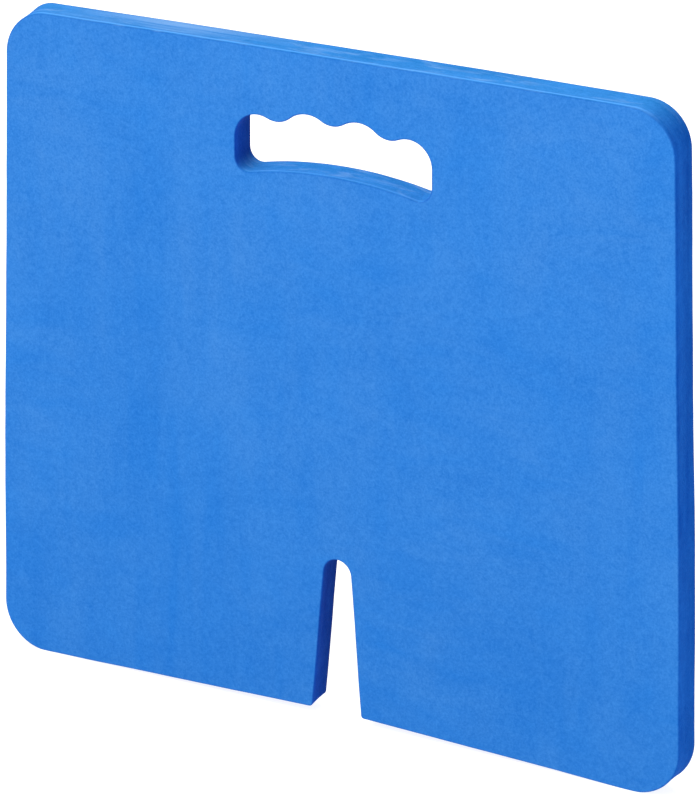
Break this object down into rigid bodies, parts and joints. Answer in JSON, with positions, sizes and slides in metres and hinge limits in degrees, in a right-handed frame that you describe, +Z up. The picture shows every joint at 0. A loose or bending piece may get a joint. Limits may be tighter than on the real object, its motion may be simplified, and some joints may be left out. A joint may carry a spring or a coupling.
{
  "type": "kickboard float",
  "caption": "Flat foam kickboard float with rounded corners, a hand-hold with finger arches near its top and a tapered notch in its bottom edge.",
  "frame": {"origin": "middle of the slab's width and thickness, level with the two feet that it stands on at the ends of its bottom edge", "axes": "+Z up the height, from the notch towards the hand-hold; +X across the width, to the right of someone who faces the front; the front face looks along -Y, so Y is the thickness"},
  "size_m": [0.4, 0.018, 0.352],
  "materials": {
    "foam": "matte closed-cell foam, mid blue"
  },
  "bodies": {
    "root": {"foam_board": "foam"}
  },
  "joints": []
}
